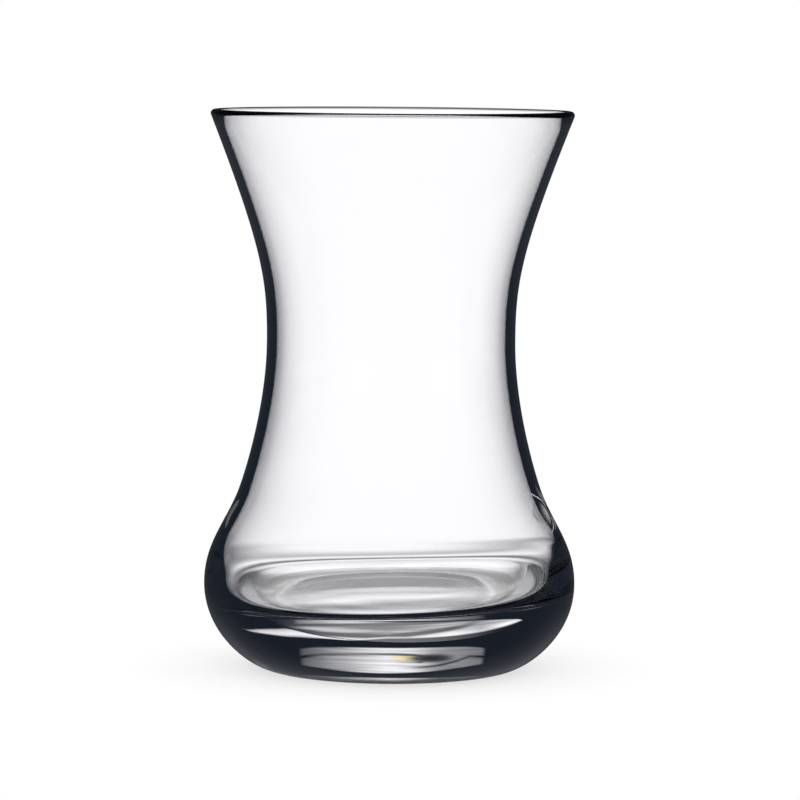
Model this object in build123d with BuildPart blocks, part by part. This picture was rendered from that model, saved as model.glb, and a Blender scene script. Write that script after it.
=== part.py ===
"""A clear, empty tulip-waisted tea glass, blown in one piece with a heavy solid base.

Frame: +Z up, the origin at the centre of the ring that the glass stands on. Millimetres.
The whole glass is one closed section turned about Z: underside, base, outer wall, rim, inner wall, floor.
"""

import os
from math import cos, radians, sin

from build123d import *

# Overall sizes
height = 95.5  # foot to the top of the rim
rim_radius = 31.0  # outside of the rim's bead

# Outside of the wall
waist_radius = 21.25
waist_height = 56.1
shoulder_radius = 26.14  # where the wall turns from the round bulb into the hollow flank
shoulder_height = 30.0
shoulder_lean = 21.9  # degrees that the wall leans from upright there
bulb_radius = 31.8  # the widest part of the glass
bulb_height = 14.5

# Base and underside
foot_radius = 20.6  # outer edge of the flat ring that the glass stands on
foot_width = 1.8
punt_depth = 1.2  # how far the middle of the underside is hollowed

# Wall, rim and floor
bead_radius = 0.7  # the fire-polished rim is a round bead
rim_lean = 21.4  # degrees that the wall leans outward at the rim
waist_wall = 1.7
shoulder_wall = 1.75
bulb_wall = 2.8  # the wall beside the widest part of the hollow
cavity_height = 18.0
floor_thickness = 11.2  # glass under the middle of the floor
floor_radius = 25.5  # where the dished floor turns up into the wall
floor_rise = 0.8  # how much higher the floor is there than in its middle

# How far each curve keeps its starting direction, as a share of the height it climbs
BASE_OUT = 0.21  # out from the foot
BASE_UP = 0.62  # up into the widest part
BULB_UP = 0.42  # up from the widest part
BULB_IN = 0.39  # into the shoulder
FLANK_OUT = 0.104  # out of the shoulder
FLANK_IN = 0.431  # into the waist
FLARE_OUT = 0.26  # out of the waist
FLARE_IN = 0.645  # into the rim
CORNER_DOWN = 0.95  # down from the widest part of the hollow
FLOOR_FLAT = 0.55  # level from the middle of the floor, as a share of the floor's radius


def leaning(point, degrees, length):
    """The point this length up a line that leans outward from upright by these degrees."""
    return (
        point[0] + length * sin(radians(degrees)),
        point[1] + length * cos(radians(degrees)),
    )


def rising(start, end, start_lean, end_lean, start_hold, end_hold):
    """A curve climbing from start to end, leaving and arriving at these leans."""
    climb = end[1] - start[1]
    return Bezier(
        start,
        leaning(start, start_lean, start_hold * climb),
        leaning(end, end_lean, -end_hold * climb),
        end,
    )


def inside(point, lean, wall):
    """The point straight through a leaning wall of this thickness."""
    return leaning(point, lean - 90, wall)


# Outer stations, as (radius, height)
foot_inside = (foot_radius - foot_width, 0)
foot_outside = (foot_radius, 0)
bulb = (bulb_radius, bulb_height)
shoulder = (shoulder_radius, shoulder_height)
waist = (waist_radius, waist_height)
bead_middle = (rim_radius - bead_radius, height - bead_radius)
rim_outside = inside(bead_middle, rim_lean, -bead_radius)
rim_top = leaning(bead_middle, rim_lean, bead_radius)

# Inner stations: the outer ones less the wall
rim_inside = inside(bead_middle, rim_lean, bead_radius)
inner_waist = inside(waist, 0, waist_wall)
inner_shoulder = inside(shoulder, -shoulder_lean, shoulder_wall)
cavity_radius = bulb_radius - bulb_wall
cavity = (cavity_radius, cavity_height)
floor_edge = (floor_radius, floor_thickness + floor_rise)
floor_middle = (0, floor_thickness)
floor_flat = (FLOOR_FLAT * floor_radius, floor_thickness)
floor_slope = floor_rise / (floor_edge[0] - floor_flat[0])
corner_step = (cavity_radius - floor_radius) / 2
floor_reach = (floor_edge[0] + corner_step, floor_edge[1] + corner_step * floor_slope)
corner_reach = (cavity_radius, cavity_height - CORNER_DOWN * (cavity_height - floor_edge[1]))

with BuildPart() as glass:
    with BuildSketch(Plane.XZ) as section:
        with BuildLine() as outline:
            # Underside: a shallow hollow inside a flat standing ring
            Bezier((0, punt_depth), (foot_inside[0] / 2, punt_depth), foot_inside)
            Line(foot_inside, foot_outside)
            # Rounded base, from flat at the foot to upright at the widest part
            Bezier(
                foot_outside,
                (foot_radius + BASE_OUT * bulb_height, 0),
                (bulb_radius, bulb_height * (1 - BASE_UP)),
                bulb,
            )
            # Outer wall
            rising(bulb, shoulder, 0, -shoulder_lean, BULB_UP, BULB_IN)
            rising(shoulder, waist, -shoulder_lean, 0, FLANK_OUT, FLANK_IN)
            rising(waist, rim_outside, 0, rim_lean, FLARE_OUT, FLARE_IN)
            # Rim bead
            ThreePointArc(rim_outside, rim_top, rim_inside)
            # Inner wall
            rising(inner_waist, rim_inside, 0, rim_lean, FLARE_OUT, FLARE_IN)
            rising(inner_shoulder, inner_waist, -shoulder_lean, 0, FLANK_OUT, FLANK_IN)
            rising(cavity, inner_shoulder, 0, -shoulder_lean, BULB_UP, BULB_IN)
            # The wall turns into the dished floor
            Bezier(cavity, corner_reach, floor_reach, floor_edge)
            Bezier(floor_edge, floor_flat, floor_middle)
            Line(floor_middle, (0, punt_depth))
        make_face()
    revolve(axis=Axis.Z)

os.makedirs("parts", exist_ok=True)
glass.part.label = "glass"
export_step(glass.part, "parts/glass.step")
print("glass", round(glass.part.volume), "mm3, solids", len(glass.part.solids()))
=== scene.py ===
"""Looks of a clear, empty, waisted tea glass: one piece on a pale floor, lit from behind."""

import math

import bpy
import numpy as np
from mathutils import Matrix, Vector


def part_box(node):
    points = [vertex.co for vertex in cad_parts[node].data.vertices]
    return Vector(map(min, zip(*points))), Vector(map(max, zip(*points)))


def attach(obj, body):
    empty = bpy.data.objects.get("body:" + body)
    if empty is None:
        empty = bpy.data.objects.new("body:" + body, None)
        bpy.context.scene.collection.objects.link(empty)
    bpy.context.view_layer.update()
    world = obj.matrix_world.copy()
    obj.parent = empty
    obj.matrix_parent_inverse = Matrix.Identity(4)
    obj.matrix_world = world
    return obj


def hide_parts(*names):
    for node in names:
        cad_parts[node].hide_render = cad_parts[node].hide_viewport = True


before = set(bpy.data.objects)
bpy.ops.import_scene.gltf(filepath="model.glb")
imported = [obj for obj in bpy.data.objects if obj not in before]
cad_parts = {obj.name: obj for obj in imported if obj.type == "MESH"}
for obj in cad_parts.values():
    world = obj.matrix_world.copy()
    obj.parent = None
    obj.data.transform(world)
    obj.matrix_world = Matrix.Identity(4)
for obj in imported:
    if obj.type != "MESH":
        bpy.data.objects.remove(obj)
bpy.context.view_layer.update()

# --- Sizes, in metres and degrees -------------------------------------------------------------
node_low, node_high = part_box("glass")
HEIGHT = node_high.z
BULB_RADIUS = (node_high.x - node_low.x) / 2
BULB_HEIGHT = 0.0145
FOOT_RADIUS = 0.0206
FOOT_WIDTH = 0.0018
PUNT_DEPTH = 0.0012
WAIST_RADIUS = 0.02125
WAIST_HEIGHT = 0.0561
SHOULDER_RADIUS = 0.02614
SHOULDER_HEIGHT = 0.030
SHOULDER_LEAN = 21.9
RIM_RADIUS = 0.0310
RIM_LEAN = 21.4
BEAD_RADIUS = 0.0007
WAIST_WALL = 0.0017
SHOULDER_WALL = 0.00175
CAVITY_RADIUS = 0.0290
CAVITY_HEIGHT = 0.0180
FLOOR_THICKNESS = 0.0112
FLOOR_RADIUS = 0.0255
FLOOR_RISE = 0.0008
FLOOR_HOLD = 0.55  # where the floor's middle handle lies, as a share of its radius
CORNER_HOLD = 0.95  # how far the corner's upright handle reaches, as a share of its drop

# Lengths of the curves' handles, as shares of the height or the climb
BASE_OUT, BASE_UP = 0.21, 0.62
BULB_HOLDS = (0.42, 0.39)
SHOULDER_HOLDS = (0.104, 0.431)
FLARE_HOLDS = (0.26, 0.645)

# The hollow's bottom leans, higher towards +X
FLOOR_TILT = 1.5
TILT_START, TILT_FULL = 0.036, 0.016  # the lean grows down from one height to the other
TILT_INSIDE = 0.012  # no lean nearer the axis than this, the whole of it from twice as far

STEPS_AROUND = 256
FINE_STEPS = 48
WALL_STEPS = 32
FLAT_STEPS = 24
BEAD_STEPS = 17
FOOT_STEPS = 5

IOR = 1.51


# --- Shape ------------------------------------------------------------------------------------
def bezier(*handles, steps):
    """Points of a Bezier curve: handles weighted by Bernstein polynomials in t, from 0 to 1."""
    t = np.linspace(0, 1, steps)[:, None]
    last = len(handles) - 1
    return sum(
        math.comb(last, k) * (1 - t) ** (last - k) * t**k * np.array(handle)
        for k, handle in enumerate(handles)
    )


def leaning(point, degrees, length):
    """The point this length up a line that leans outward from upright by these degrees."""
    angle = math.radians(degrees)
    return (point[0] + length * math.sin(angle), point[1] + length * math.cos(angle))


def rising(start, end, start_lean, end_lean, start_hold, end_hold):
    """A cubic Bezier up from start to end, its handles a share of the climb along each lean."""
    climb = end[1] - start[1]
    return bezier(
        start,
        leaning(start, start_lean, start_hold * climb),
        leaning(end, end_lean, -end_hold * climb),
        end,
        steps=WALL_STEPS,
    )


def outer_runs():
    """The outside from the axis up: underside, foot, base, bulb, shoulder, flare and bead."""
    foot_inside = (FOOT_RADIUS - FOOT_WIDTH, 0)
    foot_outside = (FOOT_RADIUS, 0)
    bulb = (BULB_RADIUS, BULB_HEIGHT)
    shoulder = (SHOULDER_RADIUS, SHOULDER_HEIGHT)
    waist = (WAIST_RADIUS, WAIST_HEIGHT)
    bead_middle = (RIM_RADIUS - BEAD_RADIUS, HEIGHT - BEAD_RADIUS)
    rim_outside = leaning(bead_middle, RIM_LEAN + 90, BEAD_RADIUS)
    angle = np.radians(np.linspace(RIM_LEAN + 90, RIM_LEAN - 90, BEAD_STEPS))[:, None]
    return [
        bezier((0, PUNT_DEPTH), (foot_inside[0] / 2, PUNT_DEPTH), foot_inside, steps=FLAT_STEPS),
        bezier(foot_inside, foot_outside, steps=FOOT_STEPS),
        bezier(
            foot_outside,
            (FOOT_RADIUS + BASE_OUT * BULB_HEIGHT, 0),
            (BULB_RADIUS, (1 - BASE_UP) * BULB_HEIGHT),
            bulb,
            steps=FINE_STEPS,
        ),
        rising(bulb, shoulder, 0, -SHOULDER_LEAN, *BULB_HOLDS),
        rising(shoulder, waist, -SHOULDER_LEAN, 0, *SHOULDER_HOLDS),
        rising(waist, rim_outside, 0, RIM_LEAN, *FLARE_HOLDS),
        np.array(bead_middle) + BEAD_RADIUS * np.hstack([np.sin(angle), np.cos(angle)]),
    ]


def inner_runs():
    """The inside from the rim's bead to the axis: flare, waist, bulb, corner and floor."""
    waist = (WAIST_RADIUS, WAIST_HEIGHT)
    shoulder = (SHOULDER_RADIUS, SHOULDER_HEIGHT)
    bead_middle = (RIM_RADIUS - BEAD_RADIUS, HEIGHT - BEAD_RADIUS)
    rim_inside = leaning(bead_middle, RIM_LEAN - 90, BEAD_RADIUS)
    inner_waist = leaning(waist, -90, WAIST_WALL)
    inner_shoulder = leaning(shoulder, -SHOULDER_LEAN - 90, SHOULDER_WALL)
    cavity = (CAVITY_RADIUS, CAVITY_HEIGHT)
    floor_edge = (FLOOR_RADIUS, FLOOR_THICKNESS + FLOOR_RISE)
    floor_slope = FLOOR_RISE / (FLOOR_RADIUS * (1 - FLOOR_HOLD))
    corner_step = (CAVITY_RADIUS - FLOOR_RADIUS) / 2
    drop = CAVITY_HEIGHT - floor_edge[1]
    return [
        rising(inner_waist, rim_inside, 0, RIM_LEAN, *FLARE_HOLDS)[::-1],
        rising(inner_shoulder, inner_waist, -SHOULDER_LEAN, 0, *SHOULDER_HOLDS)[::-1],
        rising(cavity, inner_shoulder, 0, -SHOULDER_LEAN, *BULB_HOLDS)[::-1],
        bezier(
            cavity,
            (CAVITY_RADIUS, CAVITY_HEIGHT - CORNER_HOLD * drop),
            (FLOOR_RADIUS + corner_step, floor_edge[1] + floor_slope * corner_step),
            floor_edge,
            steps=WALL_STEPS,
        ),
        bezier(
            floor_edge,
            (FLOOR_RADIUS * FLOOR_HOLD, FLOOR_THICKNESS),
            (0, FLOOR_THICKNESS),
            steps=FLAT_STEPS,
        ),
    ]


def turned(section, around):
    """Vertices and faces of a section turned about Z: (r cos a, r sin a, z), with two poles."""
    ring = section[1:-1]
    angle = np.linspace(0, 2 * math.pi, around, endpoint=False)
    radius, height = ring[:, 0][:, None], ring[:, 1][:, None]
    grid = np.stack(
        [radius * np.cos(angle), radius * np.sin(angle), height + 0 * angle], axis=-1
    )
    poles = np.array([[0, 0, section[0, 1]], [0, 0, section[-1, 1]]])
    vertices = np.vstack([grid.reshape(-1, 3), poles])
    rows = len(ring)
    index = np.arange(rows * around).reshape(rows, around)
    beside = np.roll(index, -1, axis=1)
    quads = np.stack([index[:-1], beside[:-1], beside[1:], index[1:]], axis=-1).reshape(-1, 4)
    start, end = rows * around, rows * around + 1
    first = np.stack([beside[0], index[0], np.full(around, start)], axis=-1)
    last = np.stack([index[-1], beside[-1], np.full(around, end)], axis=-1)
    return vertices, quads.tolist() + first.tolist() + last.tolist()


def smooth_step(share):
    """0 to 1 with level ends: 3 s^2 - 2 s^3, s held between 0 and 1."""
    share = np.clip(share, 0, 1)
    return share**2 * (3 - 2 * share)


def glass_shape():
    """The glass turned about Z, its inside sheared upward along X near the bottom of the hollow.

    The lift is tan(tilt) times x, faded in by a smooth step of height and a smooth step of radius.
    """
    outer, inner = outer_runs(), inner_runs()
    section = np.vstack([run[(0 if k == 0 else 1) :] for k, run in enumerate(outer + inner)])
    vertices, faces = turned(section, STEPS_AROUND)
    inside = np.zeros(len(vertices), dtype=bool)
    inside[sum(len(run) - 1 for run in outer) * STEPS_AROUND :] = True
    inside[-2] = False
    x, y, z = vertices.T
    share = smooth_step((TILT_START - z) / (TILT_START - TILT_FULL)) * inside
    share = share * smooth_step((np.hypot(x, y) - TILT_INSIDE) / TILT_INSIDE)
    vertices[:, 2] += math.tan(math.radians(FLOOR_TILT)) * x * share
    return vertices, faces


def piece(name, vertices, faces):
    """A smooth mesh object at the origin, with its place in its mesh."""
    mesh = bpy.data.meshes.new(name)
    mesh.from_pydata(vertices.tolist(), [], faces)
    mesh.polygons.foreach_set("use_smooth", np.ones(len(mesh.polygons), dtype=bool))
    mesh.update()
    made = bpy.data.objects.new(name, mesh)
    bpy.context.scene.collection.objects.link(made)
    return made


# --- Shader nodes -----------------------------------------------------------------------------
class Nodes:
    """A short way to place and join shader nodes."""

    def __init__(self, tree):
        self.tree = tree
        tree.nodes.clear()

    def add(self, kind, **settings):
        node = self.tree.nodes.new(kind)
        for key, value in settings.items():
            setattr(node, key, value)
        return node

    def join(self, source, target):
        self.tree.links.new(source, target)

    def maths(self, operation, *values):
        node = self.add("ShaderNodeMath", operation=operation)
        for socket, value in zip(node.inputs, values):
            if isinstance(value, (int, float)):
                socket.default_value = value
            else:
                self.join(value, socket)
        return node.outputs[0]

    def chain(self, operation, values):
        total = values[0]
        for value in values[1:]:
            total = self.maths(operation, total, value)
        return total

    def plus(self, *values):
        return self.chain("ADD", values)

    def less(self, *values):
        return self.chain("SUBTRACT", values)

    def times(self, *values):
        return self.chain("MULTIPLY", values)

    def most(self, *values):
        return self.chain("MAXIMUM", values)

    def least(self, *values):
        return self.chain("MINIMUM", values)

    def above(self, value, limit):
        return self.maths("GREATER_THAN", value, limit)

    def under(self, value, limit):
        return self.maths("LESS_THAN", value, limit)

    def size(self, value):
        return self.maths("ABSOLUTE", value)

    def square(self, value):
        return self.times(value, value)

    def rest(self, value):
        """What is left of 1."""
        return self.less(1.0, value)

    def blend(self, share, one, other):
        """This share of one, and the rest of the other."""
        return self.plus(self.times(share, one), self.times(self.rest(share), other))

    def axes(self, coordinates):
        """The X, Y and Z of one of the Texture Coordinate node's outputs."""
        split = self.add("ShaderNodeSeparateXYZ")
        self.join(self.add("ShaderNodeTexCoord").outputs[coordinates], split.inputs[0])
        return split.outputs

    def vector(self, *values):
        made = self.add("ShaderNodeCombineXYZ")
        for socket, value in zip(made.inputs, values):
            self.join(value, socket)
        return made.outputs[0]

    def length(self, vector):
        node = self.add("ShaderNodeVectorMath", operation="LENGTH")
        self.join(vector, node.inputs[0])
        return node.outputs["Value"]

    def noise(self, vector, detail):
        node = self.add("ShaderNodeTexNoise")
        self.join(vector, node.inputs["Vector"])
        node.inputs["Scale"].default_value = 1.0
        node.inputs["Detail"].default_value = float(detail)
        return node.outputs["Fac"]

    def mix(self, share, one, other):
        """A colour between one and the other."""
        node = self.add("ShaderNodeMix", data_type="RGBA")
        self.join(share, node.inputs[0])
        for socket, colour in ((node.inputs[6], one), (node.inputs[7], other)):
            if isinstance(colour, tuple):
                socket.default_value = colour
            else:
                self.join(colour, socket)
        return node.outputs[2]

    def mix_shaders(self, share, one, other):
        node = self.add("ShaderNodeMixShader")
        self.join(share, node.inputs[0])
        self.join(one.outputs[0], node.inputs[1])
        self.join(other.outputs[0], node.inputs[2])
        return node

    def ramp(self, value, *stops):
        """Straight lines through the stops (value, height), level beyond the first and the last."""
        start, end = stops[0][0], stops[-1][0]
        place = self.add("ShaderNodeMapRange")
        self.join(value, place.inputs["Value"])
        place.inputs["From Min"].default_value = start
        place.inputs["From Max"].default_value = end
        line = self.add("ShaderNodeValToRGB")
        self.join(place.outputs["Result"], line.inputs["Fac"])
        points = line.color_ramp.elements
        points.remove(points[-1])
        for k, (at, height) in enumerate(stops):
            share = (at - start) / (end - start)
            point = points[0] if k == 0 else points.new(share)
            point.position = share
            point.color = (height, height, height, 1)
        return line.outputs["Color"]

    def bent(self, path):
        """1 for light through or off the glass, and a quarter where a matt surface gathers it."""
        by_glass = self.most(path.outputs["Is Transmission Ray"], path.outputs["Is Glossy Ray"])
        onto_floor = self.least(path.outputs["Diffuse Depth"], 1.0)
        return self.times(by_glass, self.rest(self.times(onto_floor, 0.75)))


# --- Glass ------------------------------------------------------------------------------------
def clear_glass():
    """Clear glass: faint flow waves, a hollow a little less polished low down, and a scuffed foot
    in painted shade.
    """
    material = bpy.data.materials.new("clear_glass")
    material.use_nodes = True
    n = Nodes(material.node_tree)
    x, y, height = n.axes("Object")
    from_axis = n.length(n.vector(x, y))

    def grain(scale, up, detail):
        """Noise with this many grains to the metre across, and this many times as many upward."""
        across = float(scale)
        upward = across * up
        place = n.vector(n.times(x, across), n.times(y, across), n.times(height, upward))
        return n.noise(place, detail)

    scuffs = n.times(
        n.ramp(height, (0.0002, 1), (0.0012, 0)),
        n.ramp(grain(250, 1, 2), (0.35, 0.14), (0.65, 0.26)),
    )
    haze = n.times(
        n.ramp(height, (0.006, 0), (0.008, 1), (0.014, 1), (0.019, 0)),
        n.ramp(from_axis, (0.026, 1), (0.0285, 0)),
        n.ramp(grain(150, 1, 2), (0.4, 0), (0.65, 0.04)),
    )
    # Painted shade: the foot's outer ring, below 2 mm, is tinted a warm dark in the glass's colour
    foot_painted_shade = n.times(
        n.ramp(height, (0.0013, 1), (0.0019, 0)),
        n.ramp(from_axis, (0.0195, 0), (0.0205, 1)),
        n.ramp(grain(250, 1, 2), (0.35, 0.8), (0.6, 1)),
    )
    waves = n.add("ShaderNodeBump")
    waves.inputs["Distance"].default_value = 0.00001
    n.join(grain(50, 3, 1), waves.inputs["Height"])

    shader = n.add("ShaderNodeBsdfPrincipled")
    # The colour goes from white to the painted shade on the foot's ring
    n.join(n.mix(foot_painted_shade, (1, 1, 1, 1), (0.3, 0.28, 0.24, 1)), shader.inputs["Base Color"])
    n.join(n.most(scuffs, haze), shader.inputs["Roughness"])
    n.join(waves.outputs["Normal"], shader.inputs["Normal"])
    shader.inputs["IOR"].default_value = IOR
    shader.inputs["Transmission Weight"].default_value = 1
    out = n.add("ShaderNodeOutputMaterial")
    n.join(shader.outputs[0], out.inputs["Surface"])
    return material


body = piece("glass_body", *glass_shape())
body.data.materials.append(clear_glass())
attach(body, "root")
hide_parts("glass")

# --- Floor ------------------------------------------------------------------------------------
FLOOR_SIZE = 4
SHADOW_STRENGTH = 0.4
SHADOW_START, SHADOW_END = 0.02, 0.045


def floor_paint():
    """White seen directly, with a soft shadow near the glass, and clear to light the glass bent."""
    material = bpy.data.materials.new("floor_paint")
    material.use_nodes = True
    n = Nodes(material.node_tree)
    path = n.add("ShaderNodeLightPath")
    matt = n.add("ShaderNodeBsdfDiffuse")
    matt.inputs["Color"].default_value = (0.9, 0.9, 0.9, 1)
    from_glass = n.length(n.add("ShaderNodeTexCoord").outputs["Object"])
    near = n.ramp(from_glass, (SHADOW_START, SHADOW_STRENGTH), (SHADOW_END, 0.0))
    seen = n.mix_shaders(near, n.add("ShaderNodeEmission"), matt)
    surface = n.mix_shaders(n.bent(path), seen, n.add("ShaderNodeBsdfTransparent"))
    out = n.add("ShaderNodeOutputMaterial")
    n.join(surface.outputs[0], out.inputs["Surface"])
    return material


bpy.ops.mesh.primitive_circle_add(vertices=128, radius=FLOOR_SIZE, fill_type="NGON")
floor = bpy.context.object
floor.name = "floor"
floor.data.materials.append(floor_paint())

# --- Light ------------------------------------------------------------------------------------
STRENGTH = 1.2
DARK = (0.008, 0.011, 0.017, 1)
PALE = (0.975, 0.97, 1, 1)
LAMP = (1, 0.87, 0.46, 1)
BEHIND = 90  # azimuth of the way straight behind the glass
BACKDROP_MIDDLE = 89.5
CARD_SIDES = (
    (0, 1), (3, 1), (7, 0.8), (12, 0.55), (16, 0.42), (20, 0.22), (25, 0.06), (34, 0),
)
CARDS = ((135, -25), (315, -15))  # azimuth and rise of each card's middle
PANES = (180, 240, 320)

world = bpy.data.worlds.new("studio")
world.use_nodes = True
bpy.context.scene.world = world
n = Nodes(world.node_tree)
path = n.add("ShaderNodeLightPath")
x, y, z = n.axes("Generated")
azimuth = n.maths("DEGREES", n.maths("ARCTAN2", y, x))
rise = n.maths("DEGREES", n.maths("ARCSINE", z))


def away(centre):
    """Degrees of azimuth round from this direction, -180 to 180."""
    return n.maths("WRAP", n.less(azimuth, float(centre)), 180.0, -180.0)


turn = away(BEHIND)
sideways = n.size(turn)
left = n.most(turn, 0.0)
right = n.size(n.least(turn, 0.0))

# Which way the light came: straight through, off the outside, bounced once inside, or bounced
# after crossing the hollow
crossing = n.above(path.outputs["Transmission Depth"], 2.5)
entered = n.above(path.outputs["Transmission Depth"], 0.5)
once = n.under(path.outputs["Glossy Depth"], 1.5)
few = n.under(path.outputs["Glossy Depth"], 3.5)
bounced = n.least(path.outputs["Glossy Depth"], 1.0)
straight = n.rest(bounced)
off_outside = n.times(bounced, n.rest(entered))
within = n.times(bounced, entered, n.rest(crossing), once)
across = n.times(bounced, crossing)

# The backdrop's brightness from below to above: the table, its edge, and the pale card
far = n.ramp(
    rise, (-60, 0.4), (-52, 0.75), (-46, 1), (-41, 1), (-37, 0.75), (-33, 0.25), (-29, 0.2),
    (-26, 0.5), (-22, 1), (-19, 0.8), (-16.5, 0.5), (-14.5, 0.65), (-12.5, 0.97), (-10, 1),
    (5, 1), (6.5, 0.2), (12, 0.1), (20, 0.05), (90, 0.05),
)


def apart(one, other):
    """How far one value is from the other."""
    return n.size(n.less(one, other))


def beyond(value, start):
    """How far the value is past the start, or nothing."""
    return n.most(n.less(value, start), 0.0)


def streaks(along, up, slope, low, high):
    """Soft stripes across the light, between these two strengths."""
    way = n.vector(n.times(azimuth, along), n.plus(n.times(rise, up), n.times(azimuth, slope)))
    return n.ramp(n.noise(way, 2), (0.42, low), (0.56, high))


def oval(turn_middle, turn_half, rise_middle, rise_half):
    """Distance from a point behind the glass: 1 on the ellipse with these half widths."""
    beside = n.times(n.less(turn, turn_middle), 1 / turn_half)
    up = n.times(n.less(rise, rise_middle), 1 / rise_half)
    return n.maths("SQRT", n.plus(n.square(beside), n.square(up)))


def wide(centre):
    """The backdrop's brightness to each side of its middle."""
    return n.ramp(
        n.size(away(centre)), (0, 1), (3, 1), (5.5, 0.96), (8, 0.88), (11, 0.79), (14, 0.64),
        (16.5, 0.5), (19, 0.38), (22, 0.2), (26, 0.06), (34, 0),
    )


def backdrop():
    """The backdrop behind the glass: wider low down, and dim there unless seen past the hollow."""
    spread = n.most(
        wide(BACKDROP_MIDDLE),
        n.times(
            n.ramp(rise, (-20, 1), (-11, 0)),
            n.ramp(sideways, (8, 1), (14, 0.85), (22, 0.45), (34, 0)),
        ),
        n.times(n.ramp(rise, (-40, 1), (-33, 0)), n.ramp(sideways, (12, 1), (26, 0.8), (36, 0))),
    )
    return n.times(far, spread, n.most(crossing, n.ramp(rise, (-32, 0.2), (-18, 1))))


def sill():
    """A lit sill seen through the base: a dark rule across a grey field, and a bright edge."""
    rule = n.plus(
        8.96, n.times(left, -0.07), n.ramp(turn, (-20, 0), (-14, 0.22), (16, 0.2), (20, 0))
    )
    upper_rule = n.plus(7.08, n.times(turn, -0.03), n.times(n.square(turn), 0.0012))
    edge = n.least(
        n.plus(9.38, n.times(right, 0.06), n.times(n.square(left), -0.0007)),
        n.plus(9.62, n.times(right, 0.05), n.times(n.square(left), -0.00128)),
    )
    end, below, over = n.less(edge, rise), n.less(rise, rule), n.less(rise, upper_rule)
    crescent = n.times(
        n.ramp(below, (0, 0.05), (0.12, 0.15), (0.25, 0.42), (0.4, 0.72), (0.6, 0.85), (0.8, 0.9)),
        n.ramp(end, (-0.06, 0), (0.06, 0.7), (0.16, 1)),
    )
    lip = n.times(
        n.ramp(end, (-0.06, 0), (0.06, 0.8), (0.2, 0.8), (0.36, 0)),
        n.ramp(turn, (-16, 0), (-10, 1), (0, 0.75), (9, 0.6), (14, 0)),
    )
    field = n.times(
        n.ramp(
            below, (-2, 0.34), (-1.4, 0.36), (-1.1, 0.45), (-0.9, 0.55), (-0.65, 0.55),
            (-0.5, 0.47), (-0.4, 0.3), (-0.22, 0.08), (0, 0.03),
        ),
        n.ramp(over, (0.1, 0.1), (0.3, 0.5), (0.5, 0.85)),
        streaks(0.06, 2.4, 0.04, 0.7, 1.15),
    )
    lintel = n.times(
        n.ramp(over, (-0.4, 1), (-0.2, 0.7), (-0.05, 0.1)),
        n.ramp(turn, (-22, 0), (-20, 0.2), (-14.6, 0.4), (-10, 0.7), (0, 0.8), (12, 0.6)),
    )
    middle = n.most(lintel, n.times(n.above(over, 0.0), n.most(field, crescent, lip)))
    flare = n.times(
        n.ramp(
            end, (0, 0), (0.12, 0.35), (0.28, 0.68), (0.45, 0.62), (0.7, 0.45), (1, 0.36),
            (1.6, 0.32),
        ),
        n.ramp(turn, (20, 1), (28, 1.35)),
        streaks(0.05, 2.4, 0.05, 0.8, 1.1),
    )
    return n.times(
        n.blend(n.ramp(turn, (13, 0), (21, 1)), flare, middle),
        n.ramp(rise, (6.15, 0), (6.45, 1), (9.9, 1), (10.2, 0)),
        n.ramp(sideways, (38, 1), (44, 0)),
    )


def sill_end():
    """The sill's left end, after one bounce: a tail that rises and narrows outward."""
    foot = n.plus(
        5.25,
        n.times(n.square(beyond(right, 22.0)), 0.0085),
        n.times(n.square(n.most(n.less(18.0, right), 0.0)), 0.012),
    )
    width = n.most(n.less(1.4, n.times(beyond(right, 22.0), 0.07)), 0.05)
    return n.times(
        n.ramp(
            n.maths("DIVIDE", n.less(rise, foot), width), (0, 0), (0.12, 0.5), (0.3, 0.85),
            (0.5, 0.8), (0.8, 0.55), (1, 0),
        ),
        n.ramp(turn, (-44, 0), (-40, 0.4), (-34, 0.8), (-20, 1), (-9, 1), (-6, 0)),
    )


def sill_top():
    """The sill's top edge, after one bounce."""
    return n.times(
        n.ramp(rise, (8.7, 0), (9.2, 0.8), (11, 0.95), (14, 0.95), (17, 0.3), (22, 0.2), (26, 0)),
        n.ramp(
            turn, (-24, 0), (-20, 0.12), (-16, 0.4), (-12, 0.8), (-6, 1), (0, 0.9), (3, 0.7),
            (7, 0.5), (11, 0.3), (16, 0.17), (20, 0.1), (23, 0),
        ),
    )


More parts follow.
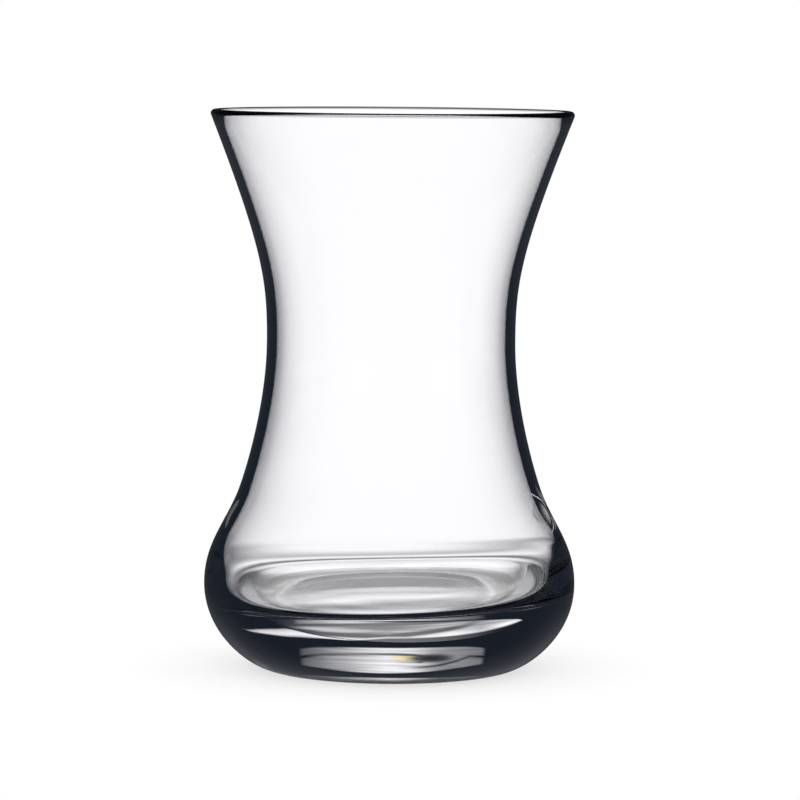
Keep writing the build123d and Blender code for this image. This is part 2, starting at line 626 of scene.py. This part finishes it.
def window():
    """A window low behind the glass, seen by one bounce off its underside.

    A lit field with a bar across its top, and a dark oval with an arc beneath it to one side.
    """
    top = n.less(4.87, n.times(n.square(n.less(turn, 4.0)), 0.0022))
    foot = n.plus(-0.48, n.times(n.square(n.plus(turn, 1.0)), 0.003))
    glow = n.ramp(
        turn, (-20.5, 0), (-19, 0.1), (-14.7, 0.19), (-9, 0.4), (-4.6, 0.66), (-0.5, 0.86),
        (4.6, 0.76), (6.8, 0.58), (9, 0.4), (11, 0.3), (13.5, 0.25), (18.5, 0.19), (21.3, 0.16),
        (22.6, 0),
    )
    bar = n.less(3.25, n.times(n.square(right), 0.0028), n.times(n.square(left), 0.0078))
    bar = n.times(
        n.ramp(apart(rise, bar), (0.12, 1), (0.45, 0)),
        n.ramp(turn, (-19, 1), (-15, 0.55), (-9, 0.6), (-4, 0.8), (10, 0.95), (12.5, 0)),
    )
    arc = n.least(n.plus(0.55, n.times(n.square(beyond(turn, 5.0)), 0.0118)), 2.55)
    arc = n.times(
        n.ramp(apart(rise, arc), (0.1, 1), (0.36, 0)),
        n.ramp(
            turn, (1.5, 0), (4.7, 0.35), (7, 0.7), (11, 0.9), (16, 0.7), (19, 0.75), (21, 1)
        ),
    )
    dark_oval = n.ramp(oval(9.0, 5.8, 2.35, 1.0), (0.25, 0.97), (0.6, 0.85), (0.85, 0.4), (1.05, 0))
    inner_arc = n.times(
        n.ramp(apart(rise, 1.6), (0.1, 1), (0.3, 0)),
        n.ramp(turn, (1.5, 0), (4.6, 0.45), (6.8, 0.9), (9, 0)),
    )
    return n.times(
        glow,
        n.rest(n.most(bar, arc, dark_oval, inner_arc)),
        n.ramp(n.less(top, rise), (-0.1, 0), (0.2, 1)),
        n.ramp(n.less(rise, foot), (-0.06, 0), (0.12, 1)),
        streaks(0.05, 2.2, 0.03, 0.8, 1.1),
    )


def panes():
    """Plain windows low to the right and in front, for other views."""
    strength = n.ramp(rise, (-1, 0), (0, 0.8), (2.5, 0.6), (3.5, 0.3), (7, 0.7), (9, 0))
    sides = [
        n.ramp(n.size(away(centre)), (0, 0.8), (8, 0.6), (16, 0.25), (22, 0)) for centre in PANES
    ]
    return n.times(n.most(*sides), strength)


def cards():
    """Plain light cards to the right and in front, for other views."""
    light = n.times(far, wide(180))
    for centre, middle in CARDS:
        offset = n.plus(n.square(away(centre)), n.square(n.less(rise, float(middle))))
        light = n.most(light, n.ramp(n.maths("SQRT", offset), *CARD_SIDES))
    return light


def glancing():
    """What the outside of the glass reflects: the table, the backdrop's edge, light from above."""
    return n.times(
        n.ramp(
            rise, (-85, 0.02), (-70, 0.04), (-55, 0.14), (-25, 0.15), (-14, 0.06), (-6, 0.03),
            (10, 0), (30, 0), (60, 0.3), (90, 0.3),
        ),
        n.ramp(sideways, (15, 1), (40, 0.5), (70, 0)),
    )


def crossed():
    """What is left of the backdrop after crossing the hollow and a few bounces in the base."""
    ahead = n.ramp(
        rise, (-60, 0.1), (-30, 0.12), (-22, 0.15), (-17, 1), (4, 1), (5.5, 0.8), (7.5, 0.9),
        (9, 1.1), (10, 1), (14, 0), (50, 0), (60, 0.2), (90, 0.2),
    )
    round_about = n.times(
        n.ramp(rise, (-14, 0), (-8, 0.5), (20, 0.5), (26, 0)),
        n.ramp(sideways, (20, 1), (80, 0.8), (95, 0)),
    )
    return n.times(few, n.most(n.times(ahead, wide(BACKDROP_MIDDLE)), round_about))


lit = n.most(
    n.times(straight, n.most(backdrop(), sill(), cards())),
    n.times(across, crossed()),
    n.times(within, n.most(window(), sill_end(), sill_top(), panes())),
    n.times(off_outside, glancing()),
)
lamp = n.times(n.ramp(oval(3.6, 3.8, 2.35, 0.85), (0.3, 1), (1, 0)), within)
studio = n.add("ShaderNodeBackground")
n.join(n.mix(lit, DARK, n.mix(lamp, PALE, LAMP)), studio.inputs["Color"])
studio.inputs["Strength"].default_value = STRENGTH
plain = n.add("ShaderNodeBackground")
plain.inputs["Color"].default_value = (1, 1, 1, 1)
out = n.add("ShaderNodeOutputWorld")
n.join(n.mix_shaders(n.bent(path), plain, studio).outputs[0], out.inputs["Surface"])

# --- Camera -----------------------------------------------------------------------------------
CAMERA_SPOT = Vector((0.0016, -0.75, 0.1102))
CAMERA_AIM = Vector((0.0016, 0, 0.04595))
CAMERA_ROLL = 0.45
FOCAL_LENGTH = 197.8
SENSOR_WIDTH = 36

lens = bpy.data.cameras.new("camera")
camera = bpy.data.objects.new("camera", lens)
bpy.context.scene.collection.objects.link(camera)
bpy.context.scene.camera = camera
pointing = (CAMERA_AIM - CAMERA_SPOT).to_track_quat("-Z", "Y").to_matrix().to_4x4()
roll = Matrix.Rotation(math.radians(CAMERA_ROLL), 4, "Z")
camera.matrix_world = Matrix.Translation(CAMERA_SPOT) @ pointing @ roll
lens.lens = FOCAL_LENGTH
lens.sensor_width = SENSOR_WIDTH
lens.clip_start, lens.clip_end = 0.01, 20

scene = bpy.context.scene
scene.view_settings.view_transform = "Standard"
scene.cycles.max_bounces = 32
scene.cycles.transmission_bounces = 32
scene.cycles.glossy_bounces = 32
scene.cycles.transparent_max_bounces = 32
